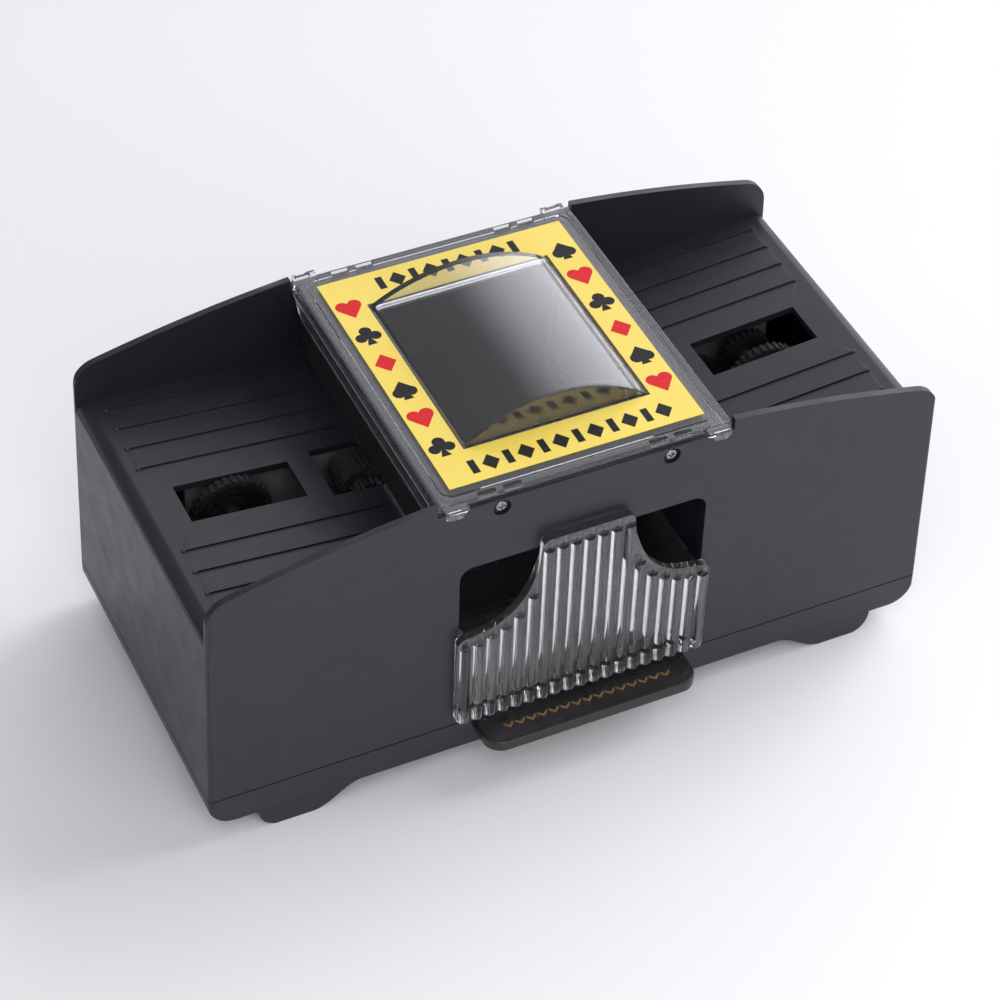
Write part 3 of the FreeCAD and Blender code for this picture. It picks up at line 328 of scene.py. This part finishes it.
# suits in a unit square, point or stem towards -y
STEM = [(-0.05, 0.0), (0.05, 0.0), (0.06, -0.22), (0.20, -0.50), (-0.20, -0.50), (-0.06, -0.22)]
SUITS = {
    "heart": [(-0.235, 0.20, 0.265), (0.235, 0.20, 0.265), [(-0.455, 0.05), (0.455, 0.05), (0.0, -0.52)]],
    "spade": [(-0.22, -0.10, 0.245), (0.22, -0.10, 0.245), [(-0.435, 0.0), (0.435, 0.0), (0.0, 0.50)], STEM],
    "club": [(-0.27, -0.06, 0.225), (0.27, -0.06, 0.225), (0.0, 0.26, 0.235), STEM],
    "diamond": [[(0.0, 0.5), (-0.42, 0.0), (0.0, -0.5), (0.42, 0.0)]],
}
RED = ("heart", "diamond")


def bar(width, height):
    x, y = width / 2, height / 2
    return [(-x, -y), (x, -y), (x, y), (-x, y)]


def add_flat(bm, points, centre, scale, z0, z1):
    """Adds a thin closed slab with that outline."""
    low, high = ([bm.verts.new((centre[0] + x * scale, centre[1] + y * scale, z)) for x, y in points]
                 for z in (z0, z1))
    bm.faces.new(high)
    bm.faces.new(list(reversed(low)))
    for k in range(len(points)):
        n = (k + 1) % len(points)
        bm.faces.new((low[k], low[n], high[n], high[k]))


def print_piece(name, shapes, z0, thickness, body, material):
    """One printed layer made of flat shapes: (outline, centre, scale)."""
    bm = bmesh.new()
    for points, centre, scale in shapes:
        add_flat(bm, points, centre, scale, z0, z0 + thickness)
    bmesh.ops.recalc_face_normals(bm, faces=bm.faces)
    bmesh.ops.triangulate(bm, faces=[f for f in bm.faces if len(f.verts) > 4])
    mesh = bpy.data.meshes.new(name)
    bm.to_mesh(mesh)
    bm.free()
    piece = bpy.data.objects.new(name, mesh)
    bpy.context.scene.collection.objects.link(piece)
    mesh.materials.append(material)
    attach(piece, body)


PRINT_T, PRINT_SINK = 0.03 * MM, 0.005 * MM
label_low, label_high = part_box("cover_label")
label_mid = (label_low + label_high) / 2
SUIT_X = 30.1 * MM
SUIT_Y0, SUIT_STEP = 29.6 * MM, 11.25 * MM
SUIT_SIZE = 7.0 * MM
COLUMNS = {-1: ("heart", "club", "diamond", "spade", "heart", "club"),
           1: ("spade", "heart", "club", "diamond", "spade", "heart")}
BORDER_Y, BORDER_PITCH, BORDER_SIZE = 36.2 * MM, 4.7 * MM, 5.6 * MM
BORDER_BACK, BORDER_FRONT = 9, 12
LEVER_TOP = 16.8 * MM
CHEVRONS, CHEVRON_PITCH, CHEVRON_SIZE, CHEVRON_IN = 15, 3.2 * MM, 2.7 * MM, 5.2 * MM


def printed_label():
    layers = {"ink_red": [], "ink_black": []}
    for side, column in COLUMNS.items():
        for row, suit in enumerate(column):
            centre = (label_mid.x + side * SUIT_X, label_mid.y + SUIT_Y0 - row * SUIT_STEP)
            layer = "ink_red" if suit in RED else "ink_black"
            layers[layer].append((outline(SUITS[suit]), centre, SUIT_SIZE))
    # plain lozenges and bars along the back and front edges
    for y, count in ((BORDER_Y, BORDER_BACK), (-BORDER_Y, BORDER_FRONT)):
        for n in range(count):
            x = (n - (count - 1) / 2) * BORDER_PITCH
            shape = outline(SUITS["diamond"]) if n % 2 else bar(0.34, 0.86)
            layers["ink_black"].append((shape, (label_mid.x + x, label_mid.y + y), BORDER_SIZE))
    top = label_high.z - PRINT_SINK
    for layer, shapes in layers.items():
        print_piece(f"label_{layer}", shapes, top, PRINT_T, "cover", MATERIALS[layer])


def lever_marks():
    """A row of small chevrons on the press bar that point down towards its free edge."""
    front_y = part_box("lever")[0].y
    chevron = [(-0.5, 0.42), (0.0, -0.02), (0.5, 0.42), (0.5, 0.12), (0.0, -0.34), (-0.5, 0.12)]
    shapes = []
    for n in range(CHEVRONS):
        x = (n - (CHEVRONS - 1) / 2) * CHEVRON_PITCH
        shapes.append((chevron, (x, front_y + CHEVRON_IN), CHEVRON_SIZE))
    print_piece("lever_marks", shapes, LEVER_TOP - PRINT_SINK, PRINT_T, "lever",
                MATERIALS["ink_gold"])


# ---- studio --------------------------------------------------------------------------------------
FLOOR_SIZE, FLOOR_GRID = 6.0, 12


def add_floor():
    bm = bmesh.new()
    bmesh.ops.create_grid(bm, x_segments=FLOOR_GRID, y_segments=FLOOR_GRID, size=FLOOR_SIZE)
    mesh = bpy.data.meshes.new("floor")
    bm.to_mesh(mesh)
    bm.free()
    floor = bpy.data.objects.new("floor", mesh)
    bpy.context.scene.collection.objects.link(floor)
    s = Shader("floor_paper", IOR=1.4, Specular_IOR_Level=0.3)
    s.feed("Base Color", s.ramp(s.noise(300, 2), (0.3, (0.91, 0.905, 0.93)),
                                (0.7, (0.925, 0.92, 0.945))))
    s.feed("Roughness", s.ramp(s.noise(40, 3), (0.3, 0.55), (0.7, 0.7)))
    mesh.materials.append(s.material)


def add_area(name, place, aim, size, power):
    light = bpy.data.lights.new(name, "AREA")
    light.shape = "RECTANGLE"
    light.size, light.size_y = size
    light.energy = power
    lamp = bpy.data.objects.new(name, light)
    lamp.location = place
    lamp.rotation_euler = (Vector(aim) - Vector(place)).to_track_quat("-Z", "Y").to_euler()
    bpy.context.scene.collection.objects.link(lamp)


GLOW_WAY, GLOW_COLOUR = (0.74, 0.66, 0.10), (0.93, 0.93, 1.0)
GLOW_DIM, GLOW_BRIGHT = 0.28, 2.3


def add_world():
    """Dim room with a wide soft glow low at the back right."""
    world = bpy.data.worlds.new("studio")
    world.use_nodes = True
    tree = world.node_tree
    back = tree.nodes["Background"]
    place = tree.nodes.new("ShaderNodeTexCoord").outputs["Generated"]
    dot = tree.nodes.new("ShaderNodeVectorMath")
    dot.operation = "DOT_PRODUCT"
    tree.links.new(place, dot.inputs[0])
    dot.inputs[1].default_value = Vector(GLOW_WAY).normalized()
    glow = tree.nodes.new("ShaderNodeMapRange")
    glow.interpolation_type = "SMOOTHSTEP"
    for socket, value in (("From Min", 0.55), ("From Max", 1.0), ("To Min", GLOW_DIM),
                          ("To Max", GLOW_BRIGHT)):
        glow.inputs[socket].default_value = value
    tree.links.new(dot.outputs["Value"], glow.inputs["Value"])
    tree.links.new(glow.outputs["Result"], back.inputs["Strength"])
    back.inputs["Color"].default_value = (*GLOW_COLOUR, 1)
    bpy.context.scene.world = world


def add_lights():
    add_world()
    aim = (0.0, 0.0, 0.04)
    add_area("key", (1.1, 0.15, 1.0), aim, (1.0, 1.0), 12)
    add_area("front_fill", (-0.35, -0.95, 1.25), aim, (1.2, 0.9), 7)
    add_area("left_fill", (-1.3, 0.1, 0.7), aim, (0.8, 0.8), 2)
    add_area("front_low", (0.15, -0.9, 0.4), (0.0, -0.12, 0.0), (1.0, 0.4), 2.8)


AZIMUTH, ELEVATION, ROLL = math.radians(-26.49), math.radians(43.57), math.radians(2.11)
DISTANCE, TARGET = 0.8302, Vector((-0.0003, 0.0056, 0.0399))
LENS = 113.6


def add_camera():
    camera = bpy.data.objects.new("camera", bpy.data.cameras.new("camera"))
    camera.data.sensor_width = 36
    camera.data.lens = LENS
    camera.data.clip_start = 0.01
    back = Vector((math.sin(AZIMUTH) * math.cos(ELEVATION), -math.cos(AZIMUTH) * math.cos(ELEVATION),
                   math.sin(ELEVATION)))
    right = (-back).cross(Vector((0, 0, 1))).normalized()
    up = right.cross(-back)
    x = math.cos(ROLL) * right + math.sin(ROLL) * up
    y = math.cos(ROLL) * up - math.sin(ROLL) * right
    turn = Matrix((x, y, back)).transposed().to_4x4()
    camera.matrix_world = Matrix.Translation(TARGET + back * DISTANCE) @ turn
    bpy.context.scene.collection.objects.link(camera)
    bpy.context.scene.camera = camera


add_camera()
finish_cad()
printed_label()
lever_marks()
add_floor()
add_lights()
bpy.context.scene.view_settings.view_transform = "Standard"
